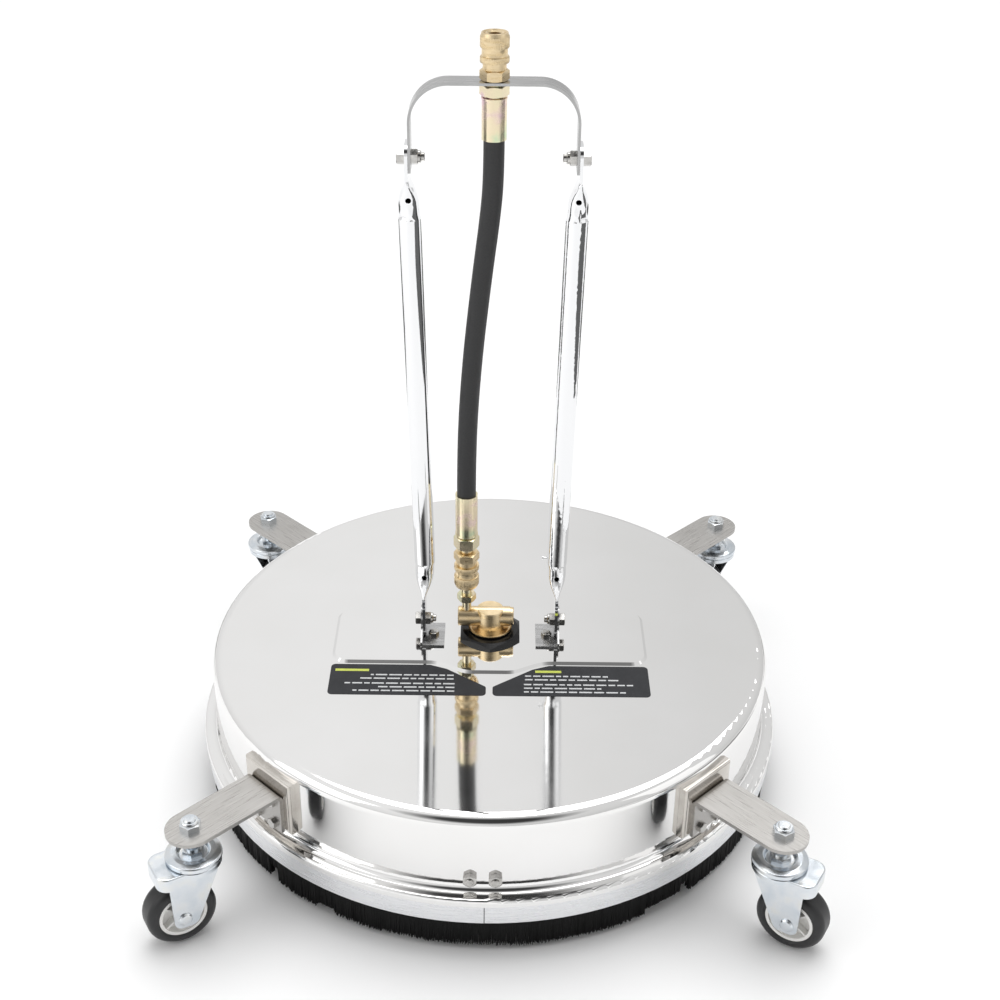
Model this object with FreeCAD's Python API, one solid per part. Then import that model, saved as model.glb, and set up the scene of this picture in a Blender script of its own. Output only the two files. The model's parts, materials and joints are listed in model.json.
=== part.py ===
import FreeCAD, Part

import math
import os

from FreeCAD import Placement, Rotation, Vector

# Flat surface cleaner for a pressure washer: a round stainless deck on four swivel casters, a spray
# rotor inside it, a brush skirt round its rim, and a slim handle frame with a short hose.
# Millimetres. The origin is on the ground, on the axis of the deck. +Z is up, +X is the cleaner's
# right as seen from its front, and -Y is its front.

# ---- driving dimensions --------------------------------------------------------------------------

DECK_RADIUS = 305.0          # outside of the deck's wall, a 24 inch cleaner
DECK_TOP = 160.0
DECK_EDGE_RADIUS = 12.0      # rolled edge between top and wall
SHEET = 1.5                  # stainless sheet of the deck
FLANGE_TOP = 71.0
FLANGE_FILLET = 8.0
LIP_RADIUS = 320.0
LIP_BOTTOM = 62.5

PAD_RISE = 2.5               # embossed middle of the deck
PAD_SLOPE = 3.0              # run of its sloping edge, in plan
PAD_TOP = DECK_TOP + PAD_RISE
PAD_OUTLINE = (              # (x, y, rounding) of the pad's foot
    (-171, -58, 18), (-58, -58, 40), (-26, -75, 30), (26, -75, 30), (58, -58, 40), (171, -58, 18),
    (171, 44, 18), (66, 44, 30), (50, 52, 30), (-50, 52, 30), (-66, 44, 30), (-171, 44, 18),
)
LABEL_THICK = 0.3
LABEL_OUTLINE = (            # (x, y, rounding) of the right label; the left one is its mirror image
    (3.5, -113, 5), (170, -113, 5), (170, -60, 5), (64, -60, 4), (46, -67, 3), (3.5, -98, 4),
)

BRUSH_OUTER = 318.0
BRUSH_INNER = 306.0
BRUSH_TOP = 69.3
BRUSH_BOTTOM = 40.0
BRUSH_SPLIT_ANGLE = -90.36   # the strip's two ends meet at the front
BRUSH_SPLIT_GAP = 0.8
BRISTLE_OUTER = 314.0
BRISTLE_INNER = 309.0
BRISTLE_ROOT = 52.0
BRISTLE_TIP = 5.0
BRISTLE_STEPS = (            # (start angle, end angle, tip height) where tufts are missing or short
    (-135.6, -133.4, 22.0),
    (-123.2, -119.4, 11.0),
    (-59.5, -51.0, 12.0),
    (-51.0, -48.6, 20.0),
)
BRUSH_BOLT_HEIGHT = 86.0
BRUSH_BOLT_ANGLES = (BRUSH_SPLIT_ANGLE - 2.65, BRUSH_SPLIT_ANGLE + 1.97)
PLATE_SPREAD = 11.0          # degrees of the ring that the joint plate covers

ARM_ANGLES = (45.0, 135.0, 225.0, 315.0)
ARM_PAD_FACE = 312.0         # distance of the arm pads' flat face from the deck's axis
ARM_PAD_HALF = 35.0
ARM_PAD_LOW = 84.0
ARM_PAD_HIGH = 146.0
ARM_PAD_SHEET = 2.5
ARM_WIDTH = 50.0
ARM_THICK = 4.0
ARM_TOP = 130.0
ARM_LEG_LOW = 83.0
ARM_BOLT_SIDE = 12.5
ARM_BOLT_HEIGHTS = (90.0, 117.0)
STEM_RADIUS = 403.8          # distance of the caster stems from the deck's axis
INNER_WALL_SEAT = 302.9      # flat seat for the arm nuts inside the curved wall

WHEEL_RADIUS = 35.5
WHEEL_WIDTH = 28.0
HUB_RADIUS = 24.5
WHEEL_TRAIL = 20.5           # axle behind the stem
AXLE_RADIUS = 4.0
FORK_INNER = 16.0
FORK_SHEET = 2.5
FORK_TOP = 94.5
STEM_SHAFT = 6.0
BALL_RADIUS = 2.5
BALL_CIRCLE = 21.0
BALL_HEIGHT = 96.0
BALLS = 18
FRONT_TRAIL_ANGLE = 30.0     # front casters trail outward and this much forward
REAR_TRAIL_ANGLE = 45.0      # rear casters trail inward and this much back
CASTERS = (                  # name, side of the deck (+1 right), front or rear
    ("front_left", -1, "front"),
    ("front_right", 1, "front"),
    ("rear_left", -1, "rear"),
    ("rear_right", 1, "rear"),
)

SWIVEL_AXIS_HEIGHT = 183.5   # cross arm of the brass swivel
SWIVEL_RADIUS = 15.0
SWIVEL_TOP = 194.0
NECK_RADIUS = 20.0
NECK_TOP = 168.0
CLAMP_NUT_FLATS = 65.0
SHAFT_RADIUS = 7.5
BEARING_OUTER = 16.0
BEARING_WIDTH = 9.0
BEARING_LOWS = (112.0, 136.0)
FIT = 0.05                   # radial clearance of everything that turns or slides in a bore
ROTOR_HEIGHT = 77.0
ROTOR_REACH = 268.0
SPRAY_TUBE = 6.0

INLET_X = -26.0              # lower fittings stand over the left arm of the swivel
COUPLER_UP_BASE = 775.9      # underside of the upper coupler's hex
COUPLER_DOWN_BASE = 267.8    # upper side of the lower coupler's hex, which hangs mouth down
COUPLER_FLATS = 24.0
COUPLER_SHOULDER = 11.0      # radius that the sleeve slides on
COUPLER_NOSE = 9.0
COUPLER_SOCKET = 5.85
COUPLER_THREAD = 6.5
COUPLER_BORE = 3.0
SPRING_RADIUS = 10.05
SPRING_WIRE = 0.7
SPRING_LOW = 17.6
SPRING_HIGH = 30.1
SPRING_TURNS = 4
SPRING_STEPS = 12
SPRING_SIDES = 6
FERRULE_RADIUS = 11.9
FERRULE_CRIMP = 11.75        # axis to the crimped flats
FERRULE_LIP_RADIUS = 12.2
FERRULE_LIP = 2.2
FERRULE_LOW_BASE = 289.7
FERRULE_HIGH_BASE = 760.5
HOSE_RADIUS = 10.0
HOSE_BORE = 4.8
HOSE_LOW = 338.7
HOSE_HIGH = 720.9
HOSE_ROUTE = (               # chosen by hand: up from the lower ferrule and across to the hoop
    (INLET_X, 0.0, HOSE_LOW),
    (INLET_X, 0.0, 398.0),
    (-20.6, 0.0, 490.0),
    (-10.9, 0.0, 582.0),
    (-2.2, 0.0, 652.0),
    (0.0, 0.0, 688.0),
    (0.0, 0.0, HOSE_HIGH),
)
ARC_SHARE = 0.45             # how much of the shorter run each bend takes up

TUBE_RADIUS = 11.1
TUBE_WALL = 1.5
TUBE_FLAT = 3.2              # thickness of the tubes' flattened ends
PIVOT_HEIGHT = 180.0
PIVOT_X = 72.2               # middle of the flattened lower end
HOOP_BOLT_HEIGHT = 703.0
HOOP_FLAT_X = 81.7           # middle of the flattened upper end
TUBE_LOW_X = 71.0            # tube axis where the lower end starts to flatten
TUBE_HIGH_X = 79.9           # tube axis where the upper end starts to flatten
# (distance from the flat, half thickness across it)
FLATTENING = ((0.0, 1.6), (7.0, 4.2), (14.0, 7.4), (25.0, 10.0), (41.0, TUBE_RADIUS))
FLAT_LOW = 214.0             # below this the lower end is fully flat
FLAT_HIGH = 684.0            # above this the upper end is fully flat
TUBE_BOTTOM = 167.0
TUBE_TOP = 717.0
DRAIN_RADIUS = 2.8
DRAIN_HOLES = ((71.4, 240.0), (80.4, 664.0))     # (x, height) in the right tube
SECTION_POINTS = 24          # points round each flattened section
STRAP = 2.5
STRAP_WIDTH = 25.0
HOOP_TOP = 775.9
HOOP_LOW = 690.8
HOOP_CORNER = 38.0           # outside bend radius of the hoop
BRACKET_SHEET = 2.0
BRACKET_INNER = 50.0
BRACKET_BOLTS = ((62.0, -8.5), (-62.0, -8.5))

M8 = 4.0                     # radius of an M8 shank
M6 = 3.0
M6_FLATS = 10.0              # across the flats of an M6 head or nut
M8_FLATS = 13.0
M12_FLATS = 19.0


# ---- helpers -------------------------------------------------------------------------------------

def save(name, *solids):
    """Write one node as parts/name.step."""
    shape = solids[0] if len(solids) == 1 else Part.makeCompound(list(solids))
    if not shape.isValid():
        raise ValueError(name + " is not valid")
    shape.exportStep("parts/" + name + ".step")


def cylinder(radius, low, high, x=0.0, y=0.0):
    return Part.makeCylinder(radius, high - low, Vector(x, y, low))


def ring(outer, inner, low, high, x=0.0, y=0.0):
    return cylinder(outer, low, high, x, y).cut(cylinder(inner, low - 1, high + 1, x, y))


def block(x0, x1, y0, y1, z0, z1):
    return Part.makeBox(x1 - x0, y1 - y0, z1 - z0, Vector(x0, y0, z0))


def flat(a, b):
    return Vector(a, b, 0)


def upright(a, b):
    return Vector(a, 0, b)


def rounded_wire(corners, to_point=flat):
    """A closed wire through (a, b, radius) corners, each corner rounded by its radius."""
    count = len(corners)
    starts = []
    ends = []
    middles = []
    for index in range(count):
        a, b, radius = corners[index]
        here = flat(a, b)
        before = flat(*corners[index - 1][:2]) - here
        after = flat(*corners[(index + 1) % count][:2]) - here
        before.normalize()
        after.normalize()
        half_angle = before.getAngle(after) / 2
        reach = radius / math.tan(half_angle)
        bisector = before + after
        depth = radius / math.sin(half_angle) - radius
        starts.append(here + before * reach)
        ends.append(here + after * reach)
        middles.append(here + bisector.normalize() * depth if radius else here)
    edges = []
    for index in range(count):
        start = to_point(starts[index].x, starts[index].y)
        end = to_point(ends[index].x, ends[index].y)
        if corners[index][2]:
            middle = to_point(middles[index].x, middles[index].y)
            edges.append(Part.Arc(start, middle, end).toShape())
        following = starts[(index + 1) % count]
        onward = to_point(following.x, following.y)
        if end.distanceToPoint(onward) > 1e-4:
            edges.append(Part.LineSegment(end, onward).toShape())
    return Part.Wire(edges)


def revolved(corners, degrees=360.0, start=0.0):
    """A (radius, height, rounding) outline turned about Z."""
    face = Part.Face(rounded_wire(corners, upright))
    solid = face.revolve(Vector(0, 0, 0), Vector(0, 0, 1), degrees)
    if start:
        solid.rotate(Vector(0, 0, 0), Vector(0, 0, 1), start)
    return solid


def turned(points, degrees=360.0, start=0.0):
    """A sharp-cornered (radius, height) outline turned about Z."""
    return revolved([(radius, height, 0) for radius, height in points], degrees, start)


def prism(corners, low, high):
    face = Part.Face(rounded_wire(corners))
    face.translate(Vector(0, 0, low))
    return face.extrude(Vector(0, 0, high - low))


def hexagon(across_flats, low, high, turn=0.0, bevel_low=False, bevel_high=True):
    """A hexagonal prism with its corners bevelled off at the chosen ends."""
    corner = across_flats / math.sqrt(3)
    corners = []
    for index in range(6):
        angle = math.radians(60 * index + turn)
        corners.append((corner * math.cos(angle), corner * math.sin(angle), 0))
    bevel = (corner - 0.47 * across_flats) * math.tan(math.radians(30))
    low_bevel = bevel if bevel_low else 0.0
    high_bevel = bevel if bevel_high else 0.0
    face_radius = 0.47 * across_flats
    outline = [(0, low), (face_radius if bevel_low else corner, low)]
    if bevel_low:
        outline.append((corner, low + low_bevel))
    if bevel_high:
        outline.append((corner, high - high_bevel))
    outline.append((face_radius if bevel_high else corner, high))
    outline.append((0, high))
    return prism(corners, low, high).common(turned(outline))


def aimed(shape, origin, direction):
    """A copy of a shape built along +Z from 0, set at origin and pointing along direction."""
    copy = shape.copy()
    copy.Placement = Placement(origin, Rotation(Vector(0, 0, 1), direction))
    return copy


def around(shape, angle):
    """A copy of a shape built facing +X, turned about the deck's axis."""
    copy = shape.copy()
    copy.rotate(Vector(0, 0, 0), Vector(0, 0, 1), angle)
    return copy


def mirrored(shape):
    return shape.mirror(Vector(0, 0, 0), Vector(1, 0, 0))


def hex_bolt(across_flats, head, radius, length, point=0.6):
    """Shank from 0 up to length, head below 0, with a bevelled shank end."""
    shank = turned([(0, -head / 2), (radius, -head / 2), (radius, length - point),
                    (radius - point, length), (0, length)])
    top = hexagon(across_flats, -head, 0, bevel_low=True, bevel_high=False)
    return top.fuse(shank).removeSplitter()


def hex_nut(across_flats, height, bore):
    return hexagon(across_flats, 0, height, bevel_low=True).cut(cylinder(bore, -1, height + 1))


def lock_nut(across_flats, height, collar, bore):
    """A nut with a round nylon collar on its far side."""
    base = hexagon(across_flats, 0, height - collar)
    radius = 0.46 * across_flats
    crown = turned([(0, height - collar - 1), (radius, height - collar - 1), (radius, height - 1),
                    (radius - 1, height), (0, height)])
    return base.fuse(crown).cut(cylinder(bore, -1, height + 1)).removeSplitter()


# ---- deck ----------------------------------------------------------------------------------------

def pad_block():
    """The embossed pad as a solid with sloping sides, from the deck's top to the pad's."""
    base = rounded_wire(PAD_OUTLINE)
    crown = base.makeOffset2D(-PAD_SLOPE)
    base.translate(Vector(0, 0, DECK_TOP))
    crown.translate(Vector(0, 0, PAD_TOP))
    return Part.makeLoft([base, crown], True, True)


def deck_shell():
    inner_wall = DECK_RADIUS - SHEET
    fillet_x = DECK_RADIUS + FLANGE_FILLET
    lip_round = 3.5
    outline = [
        (0, DECK_TOP, 0),
        (DECK_RADIUS, DECK_TOP, DECK_EDGE_RADIUS),
        (DECK_RADIUS, FLANGE_TOP, FLANGE_FILLET),
        (LIP_RADIUS, FLANGE_TOP, lip_round),
        (LIP_RADIUS, LIP_BOTTOM, 0),
        (LIP_RADIUS - SHEET, LIP_BOTTOM, 0),
        (LIP_RADIUS - SHEET, FLANGE_TOP - SHEET, lip_round - SHEET),
        (inner_wall, FLANGE_TOP - SHEET, fillet_x - inner_wall),
        (inner_wall, DECK_TOP - SHEET, DECK_EDGE_RADIUS - SHEET),
        (0, DECK_TOP - SHEET, 0),
    ]
    shell = revolved(outline)
    under = pad_block()
    under.translate(Vector(0, 0, -SHEET))
    shell = shell.fuse(pad_block()).cut(under)
    shell = shell.cut(cylinder(NECK_RADIUS + 0.2, 150, 170))
    for angle in ARM_ANGLES:
        for point in arm_bolt_points():
            hole = aimed(cylinder(M6 + 0.2, 0, 20), point - Vector(20, 0, 0), Vector(1, 0, 0))
            shell = shell.cut(around(hole, angle))
    for x, y in BRACKET_BOLTS:
        shell = shell.cut(cylinder(M6 + 0.2, 150, 170, x, y))
    for angle in BRUSH_BOLT_ANGLES:
        hole = aimed(cylinder(M8 + 0.2, 0, 20), Vector(295, 0, BRUSH_BOLT_HEIGHT), Vector(1, 0, 0))
        shell = shell.cut(around(hole, angle))
    return shell


# ---- brush skirt ---------------------------------------------------------------------------------

def brush_channel():
    """Strip section that grips the bristles, bent to a ring with one split."""
    outline = [
        (BRUSH_INNER, BRUSH_TOP), (316, BRUSH_TOP), (BRUSH_OUTER, 67), (BRUSH_OUTER, BRUSH_BOTTOM),
        (BRISTLE_OUTER, BRUSH_BOTTOM), (BRISTLE_OUTER, BRISTLE_ROOT),
        (BRISTLE_INNER, BRISTLE_ROOT), (BRISTLE_INNER, BRUSH_BOTTOM), (BRUSH_INNER, BRUSH_BOTTOM),
    ]
    gap_degrees = math.degrees(BRUSH_SPLIT_GAP / BRUSH_OUTER)
    start = BRUSH_SPLIT_ANGLE + gap_degrees / 2
    return turned(outline, 360 - gap_degrees, start)


def brush_bristles():
    """The bristle curtain, with the short places in its lower edge."""
    gap_degrees = math.degrees(BRUSH_SPLIT_GAP / BRUSH_OUTER)
    start = BRUSH_SPLIT_ANGLE + gap_degrees / 2
    section = [(BRISTLE_INNER, BRISTLE_ROOT), (BRISTLE_OUTER, BRISTLE_ROOT),
               (BRISTLE_OUTER, BRISTLE_TIP), (BRISTLE_INNER, BRISTLE_TIP)]
    curtain = turned(section, 360 - gap_degrees, start)
    for first, last, tip in BRISTLE_STEPS:
        missing = [(BRISTLE_INNER - 1, BRISTLE_TIP - 1), (BRISTLE_OUTER + 1, BRISTLE_TIP - 1),
                   (BRISTLE_OUTER + 1, tip), (BRISTLE_INNER - 1, tip)]
        curtain = curtain.cut(turned(missing, last - first, first))
    return curtain


def brush_joint_plate():
    """Joggled plate inside the wall that holds the two ends of the brush strip together."""
    wall = DECK_RADIUS - SHEET - 0.1
    strip = BRUSH_INNER - 0.05
    thick = 3.0
    outline = [
        (wall - thick, 98), (wall, 98), (wall, 77), (strip, 69.5), (strip, 42),
        (strip - thick, 42), (strip - thick, 69.5), (wall - thick, 77),
    ]
    plate = turned(outline, PLATE_SPREAD, BRUSH_SPLIT_ANGLE - PLATE_SPREAD / 2)
    for angle in BRUSH_BOLT_ANGLES:
        hole = aimed(cylinder(M8 + 0.2, 0, 20), Vector(293, 0, BRUSH_BOLT_HEIGHT), Vector(1, 0, 0))
        plate = plate.cut(around(hole, angle))
    return plate


# ---- labels --------------------------------------------------------------------------------------

def deck_labels():
    """Two blank stickers in front of the pad, one each side of the middle."""
    right = prism(LABEL_OUTLINE, DECK_TOP, DECK_TOP + LABEL_THICK)
    return right, mirrored(right)


# ---- caster arms ---------------------------------------------------------------------------------

def arm_bolt_points():
    """Where the leg's four bolts start: under their heads, on the arm built along +X."""
    points = []
    for side in (-ARM_BOLT_SIDE, ARM_BOLT_SIDE):
        for height in ARM_BOLT_HEIGHTS:
            points.append(Vector(ARM_PAD_FACE + ARM_THICK, side, height))
    return points


def bored(solid, radius):
    for point in arm_bolt_points():
        solid = solid.cut(aimed(cylinder(radius, -5, 40), point, Vector(-1, 0, 0)))
    return solid


def arm_pad():
    """Sheet pressed to a flat face, with its four edges turned back to the deck's wall."""
    back = 294.0
    body = block(back, ARM_PAD_FACE, -ARM_PAD_HALF, ARM_PAD_HALF, ARM_PAD_LOW, ARM_PAD_HIGH)
    face_edges = []
    for edge in body.Edges:
        middle = edge.CenterOfMass
        if abs(middle.x - ARM_PAD_FACE) < 0.1:
            face_edges.append(edge)
    body = body.makeFillet(3.0, face_edges)
    inside = block(back - 1, ARM_PAD_FACE - ARM_PAD_SHEET, -ARM_PAD_HALF + ARM_PAD_SHEET,
                   ARM_PAD_HALF - ARM_PAD_SHEET, ARM_PAD_LOW + ARM_PAD_SHEET,
                   ARM_PAD_HIGH - ARM_PAD_SHEET)
    wall = cylinder(DECK_RADIUS, ARM_PAD_LOW - 10, ARM_PAD_HIGH + 10)
    return bored(body.cut(inside).cut(wall), M6 + 0.2)


def caster_arm():
    """Flat bar: a leg bolted to the pad, bent over into an arm with a round end."""
    outer = [(ARM_PAD_FACE, ARM_LEG_LOW, 1.5), (ARM_PAD_FACE, ARM_TOP, 6.0)]
    tip = STEM_RADIUS + ARM_WIDTH / 2
    inner = [(tip, ARM_TOP, 0), (tip, ARM_TOP - ARM_THICK, 0),
             (ARM_PAD_FACE + ARM_THICK, ARM_TOP - ARM_THICK, 2.0),
             (ARM_PAD_FACE + ARM_THICK, ARM_LEG_LOW, 1.5)]
    half = ARM_WIDTH / 2
    side = Part.Face(rounded_wire(outer + inner, upright))
    side.translate(Vector(0, -half, 0))
    bar = side.extrude(Vector(0, ARM_WIDTH, 0))
    plan = [(ARM_PAD_FACE - 5, -half, 0), (tip, -half, half - 0.01), (tip, half, half - 0.01),
            (ARM_PAD_FACE - 5, half, 0)]
    bar = bar.common(prism(plan, ARM_LEG_LOW - 5, ARM_TOP + 5))
    bar = bar.cut(cylinder(STEM_SHAFT + 0.2, 100, 150, STEM_RADIUS))
    return bored(bar, M6 + 0.2)


# ---- casters -------------------------------------------------------------------------------------

def caster_place(side, end):
    """Placement of a caster built round Z with its wheel trailing along +X."""
    reach = STEM_RADIUS / math.sqrt(2)
    if end == "front":
        base = Vector(side * reach, -reach, 0)
        trail = -FRONT_TRAIL_ANGLE if side > 0 else 180 + FRONT_TRAIL_ANGLE
    else:
        base = Vector(side * reach, reach, 0)
        trail = 180 - REAR_TRAIL_ANGLE if side > 0 else REAR_TRAIL_ANGLE
    return Placement(base, Rotation(Vector(0, 0, 1), trail))


def across(shape):
    """A shape built round Z from its middle, laid along the axle."""
    copy = shape.copy()
    copy.rotate(Vector(0, 0, 0), Vector(1, 0, 0), 90)
    copy.translate(Vector(WHEEL_TRAIL, 0, WHEEL_RADIUS))
    return copy


def ball_groove():
    return Part.makeTorus(BALL_CIRCLE, BALL_RADIUS + 0.1, Vector(0, 0, BALL_HEIGHT))


def fork_leg(side):
    """One tapering leg, from the cap down to a round end at the axle."""
    end_radius = 11.0
    top = 93.0
    front = -17.0
    back = 33.0
    bottom = WHEEL_RADIUS - end_radius
    slope_front = (WHEEL_TRAIL - end_radius * 0.94, WHEEL_RADIUS)
    outline = [(front, top, 0), (front, 84, 6), (slope_front[0] - 1.5, bottom, end_radius * 0.8),
               (WHEEL_TRAIL + end_radius * 0.98, bottom, end_radius * 0.8), (back, 80, 6),
               (back, top, 0)]
    face = Part.Face(rounded_wire(outline, upright))
    low = FORK_INNER if side > 0 else -FORK_INNER - FORK_SHEET
    face.translate(Vector(0, low, 0))
    return face.extrude(Vector(0, FORK_SHEET, 0))


def caster_fork():
    """Pressed fork: round race plate, hood over the wheel, and two legs."""
    race = turned([(0, 92), (24.5, 92), (24.5, 89), (27, 89), (27, 93.5), (26, FORK_TOP),
                   (0, FORK_TOP)])
    hood_half = 21.5
    hood_end = 43.0
    hood_sheet = 2.2
    hood = prism([(-15, -hood_half, 4), (hood_end, -hood_half, 12), (hood_end, hood_half, 12),
                  (-15, hood_half, 4)], 79, 94)
    top_edges = []
    for edge in hood.Edges:
        if abs(edge.CenterOfMass.z - 94) < 0.1:
            top_edges.append(edge)
    hood = hood.makeFillet(2.0, top_edges)
    inner_half = hood_half - hood_sheet
    inner_end = hood_end - hood_sheet
    hollow = prism([(-20, -inner_half, 0), (inner_end, -inner_half, 9.8),
                    (inner_end, inner_half, 9.8), (-20, inner_half, 0)], 70, 91.8)
    hood = hood.cut(hollow)
    front_cut = Part.Face(Part.makePolygon([
        Vector(-20, -30, 95.5), Vector(-20, -30, 70), Vector(16, -30, 70), Vector(2, -30, 86),
        Vector(-8, -30, 90), Vector(-16, -30, 95.5), Vector(-20, -30, 95.5)]))
    hood = hood.cut(front_cut.extrude(Vector(0, 60, 0)))
    fork = race.fuse(hood).fuse(fork_leg(1)).fuse(fork_leg(-1)).removeSplitter()
    fork = fork.cut(cylinder(STEM_SHAFT + FIT, 85, 100))
    fork = fork.cut(ball_groove())
    axle_hole = across(cylinder(AXLE_RADIUS + 0.02, -30, 30))
    return fork.cut(axle_hole)


def caster_axle():
    """Rivet through both legs, with a low round head on each side."""
    head_start = FORK_INNER + FORK_SHEET
    head = 2.6
    half = [(0, 0), (AXLE_RADIUS, 0), (AXLE_RADIUS, head_start), (7, head_start),
            (7, head_start + 1.0), (5.5, head_start + head - 0.3), (3, head_start + head),
            (0, head_start + head)]
    outline = [(radius, -height) for radius, height in reversed(half[1:])]
    rivet = turned(outline[:-1] + half[2:])
    return across(rivet)


def wheel_tyre():
    half = WHEEL_WIDTH / 2
    inner = HUB_RADIUS + FIT
    outline = [(inner, -half + 1.5, 0), (inner + 2.0, -half, 0.8), (WHEEL_RADIUS, -half, 8.0),
               (WHEEL_RADIUS, half, 8.0), (inner + 2.0, half, 0.8), (inner, half - 1.5, 0)]
    return across(revolved(outline))


def wheel_hub():
    """White moulded hub: rim, thin web with five ribs a side, and a central boss."""
    rim_half = 12.3
    web_half = 3.0
    boss_half = FORK_INNER - 0.3
    rim_inner = HUB_RADIUS - 3.2
    boss = 8.5
    hub = ring(HUB_RADIUS, rim_inner, -rim_half, rim_half)
    hub = hub.fuse(cylinder(rim_inner + 1, -web_half, web_half))
    hub = hub.fuse(cylinder(boss, -boss_half, boss_half))
    rib_half = rim_half - 2.0
    for index in range(5):
        rib = block(boss - 1, rim_inner + 1, -1.1, 1.1, -rib_half, rib_half)
        hub = hub.fuse(around(rib, 72 * index + 36))
    hub = hub.cut(cylinder(AXLE_RADIUS + FIT, -30, 30))
    return across(hub.removeSplitter())


def caster_stem():
    """Threaded stem: rivet head below the fork, hex base in the race's dish, shaft to the nut."""
    shaft = turned([(0, 86), (8, 86), (9, 87), (9, 91.2), (STEM_SHAFT, 91.2), (STEM_SHAFT, 100),
                    (6.9, 104), (6.9, 119), (6.9, 123.4), (STEM_SHAFT, 123.4),
                    (STEM_SHAFT, 140.6), (STEM_SHAFT - 1, 141.6), (0, 141.6)])
    base = hexagon(19, 98.1, 104.5)
    jam = hexagon(19, 116.5, 123.4, turn=20, bevel_low=True)
    return shaft.fuse(base).fuse(jam)


def caster_top_race():
    """Fixed pressed ring over the balls, dished in the middle under the stem's hex."""
    outline = [(STEM_SHAFT + FIT, 96, 0), (14, 96, 1.5), (16.5, 97.6, 1.0), (25.8, 97.6, 0.5),
               (25.8, 95.3, 0), (28, 95.3, 0.6), (28, 100, 2.5), (22, 102.3, 3.0),
               (16.5, 102.3, 2.0), (14.2, 98, 1.5), (STEM_SHAFT + FIT, 98, 0)]
    return revolved(outline).cut(ball_groove())


def caster_balls():
    balls = []
    for index in range(BALLS):
        angle = math.radians(360 * index / BALLS)
        centre = Vector(BALL_CIRCLE * math.cos(angle), BALL_CIRCLE * math.sin(angle), BALL_HEIGHT)
        balls.append(Part.makeSphere(BALL_RADIUS, centre))
    return balls


# ---- swivel and spray rotor ----------------------------------------------------------------------

def swivel_housing():
    """Bearing housing under the deck, with a threaded neck through it."""
    outline = [(13.1, 107), (BEARING_OUTER + 1.5, 107), (BEARING_OUTER + 1.5, 105), (27, 105),
               (27, 156), (30, 156), (30, PAD_TOP - SHEET), (NECK_RADIUS, PAD_TOP - SHEET),
               (NECK_RADIUS, NECK_TOP), (13.1, NECK_TOP)]
    housing = turned(outline)
    bearing_seat = cylinder(BEARING_OUTER + 0.02, 100, 148)
    return housing.cut(bearing_seat)


def swivel_body():
    """Brass head: round block with a cross arm, screwed into the housing's neck."""
    block_outline = [(0, 152), (13, 152), (13, 168.2), (19, 168.2), (23.6, 169.6), (24, 171.4),
                     (22.6, 171.6), (20.5, 170.2), (SWIVEL_RADIUS, 170.2),
                     (SWIVEL_RADIUS, SWIVEL_TOP - 1), (SWIVEL_RADIUS - 1, SWIVEL_TOP),
                     (0, SWIVEL_TOP)]
    body = turned(block_outline)
    arm = turned([(0, -35.5), (10, -35.5), (11, -34.5), (11, 22), (0, 22)])
    arm = aimed(arm, Vector(0, 0, SWIVEL_AXIS_HEIGHT), Vector(1, 0, 0))
    body = body.fuse(arm).removeSplitter()
    passage = aimed(cylinder(5, -28, 14), Vector(0, 0, SWIVEL_AXIS_HEIGHT), Vector(1, 0, 0))
    body = body.cut(passage)
    body = body.cut(cylinder(5, 151, SWIVEL_AXIS_HEIGHT))
    body = body.cut(cylinder(5.2, SWIVEL_AXIS_HEIGHT, 200, INLET_X))
    plug_hole = aimed(cylinder(6.5, 13, 23), Vector(0, 0, SWIVEL_AXIS_HEIGHT), Vector(1, 0, 0))
    return body.cut(plug_hole)


def swivel_end_plug():
    """Screwed plug that closes the right end of the cross arm."""
    plug = turned([(0, 14), (6.4, 14), (6.4, 22), (10.2, 22), (10.2, 25), (9.4, 25.8), (0, 25.8)])
    plug = plug.cut(hexagon(6, 22.6, 27, bevel_high=False))
    return aimed(plug, Vector(0, 0, SWIVEL_AXIS_HEIGHT), Vector(1, 0, 0))


def swivel_clamp_nut():
    nut = hexagon(CLAMP_NUT_FLATS, PAD_TOP, NECK_TOP, turn=30)
    return nut.cut(cylinder(NECK_RADIUS + 0.1, 150, 175))


def swivel_bearings():
    bearings = []
    for low in BEARING_LOWS:
        high = low + BEARING_WIDTH
        bearing = ring(BEARING_OUTER - 0.02, SHAFT_RADIUS + FIT, low, high)
        for face_low in (low - 0.1, high - 0.4):
            bearing = bearing.cut(ring(13.4, 9.6, face_low, face_low + 0.5))
        bearings.append(bearing)
    return bearings


def swivel_seal():
    """Lip seal on top of the upper bearing."""
    return turned([(SHAFT_RADIUS + FIT, 146), (BEARING_OUTER - 0.5, 146),
                   (BEARING_OUTER - 0.5, 147.5), (10, 147.5), (8.5, 149.5),
                   (SHAFT_RADIUS + FIT, 149.5)])


def rotor_shaft():
    """Hollow shaft with a collar under the lower bearing and a thread for the hub."""
    return turned([(3, 70), (6.5, 70), (6.5, 88.2), (9, 88.2), (9, 111.7), (SHAFT_RADIUS, 111.7),
                   (SHAFT_RADIUS, 150), (6.5, 151), (3, 151)])


def rotor_hub():
    """Brass cross block on the shaft, with a port for each spray tube."""
    hub = turned([(6.6, 66), (17, 66), (18, 67), (18, 87), (17, 88), (6.6, 88)])
    hub = hub.fuse(turned([(0, 64), (12, 64), (12, 68), (0, 68)]))
    port = cylinder(SPRAY_TUBE + 0.1, 10, 20)
    for side in (-1, 1):
        hub = hub.cut(aimed(port, Vector(0, 0, ROTOR_HEIGHT), Vector(side, 0, 0)))
    return hub


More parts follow.
